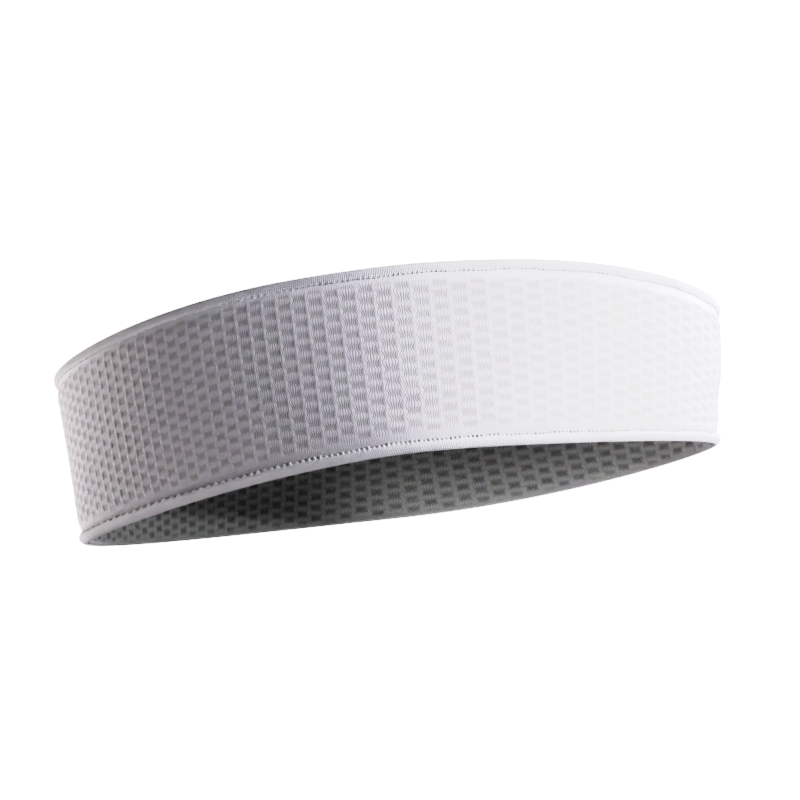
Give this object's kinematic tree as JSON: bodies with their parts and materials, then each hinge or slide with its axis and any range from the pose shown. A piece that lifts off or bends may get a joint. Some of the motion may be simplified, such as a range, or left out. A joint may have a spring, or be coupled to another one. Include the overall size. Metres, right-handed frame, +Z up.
{
  "type": "sports headband",
  "caption": "Stretch-knit loop worn round the head, with an absorbent core between two dimpled knit layers and a rolled elastic binding on each rim.",
  "frame": {"origin": "bottom centre of the band's bounding box, on the surface that its lower rim stands on", "axes": "+X towards the forehead end of the loop, -X towards the rear seam, +Y across the loop, +Z up from the lower rim to the upper rim"},
  "size_m": [0.205, 0.1134, 0.0565],
  "materials": {
    "shell_knit": "white dimpled jacquard knit with a faint sheen",
    "core_terry": "soft unbleached white terry",
    "lining_knit": "off-white dimpled jacquard knit, in shade",
    "binding_rib": "white fine-ribbed knit, rolled",
    "elastic_cord": "braided elastic",
    "sewing_thread": "white polyester thread",
    "seam_tape": "off-white plain knit tape"
  },
  "bodies": {
    "front_half": {"outer_shell_front": "shell_knit", "absorbent_core_front": "core_terry", "inner_lining_front": "lining_knit", "upper_binding_front": "binding_rib", "lower_binding_front": "binding_rib", "upper_elastic_front": "elastic_cord", "lower_elastic_front": "elastic_cord", "upper_topstitch_front": "sewing_thread", "lower_topstitch_front": "sewing_thread"},
    "rear_half": {"outer_shell_rear": "shell_knit", "absorbent_core_rear": "core_terry", "inner_lining_rear": "lining_knit", "upper_binding_rear": "binding_rib", "lower_binding_rear": "binding_rib", "upper_elastic_rear": "elastic_cord", "lower_elastic_rear": "elastic_cord", "upper_topstitch_rear": "sewing_thread", "lower_topstitch_rear": "sewing_thread", "rear_seam_thread": "sewing_thread", "rear_seam_tape": "seam_tape", "upper_bartack": "sewing_thread", "lower_bartack": "sewing_thread"}
  },
  "joints": [
    {"name": "stretch", "type": "slide", "parent": "front_half", "child": "rear_half", "axis": [-1, 0, 0], "range_m": [0, 0.05], "stiffness_N_per_m": 200}
  ]
}
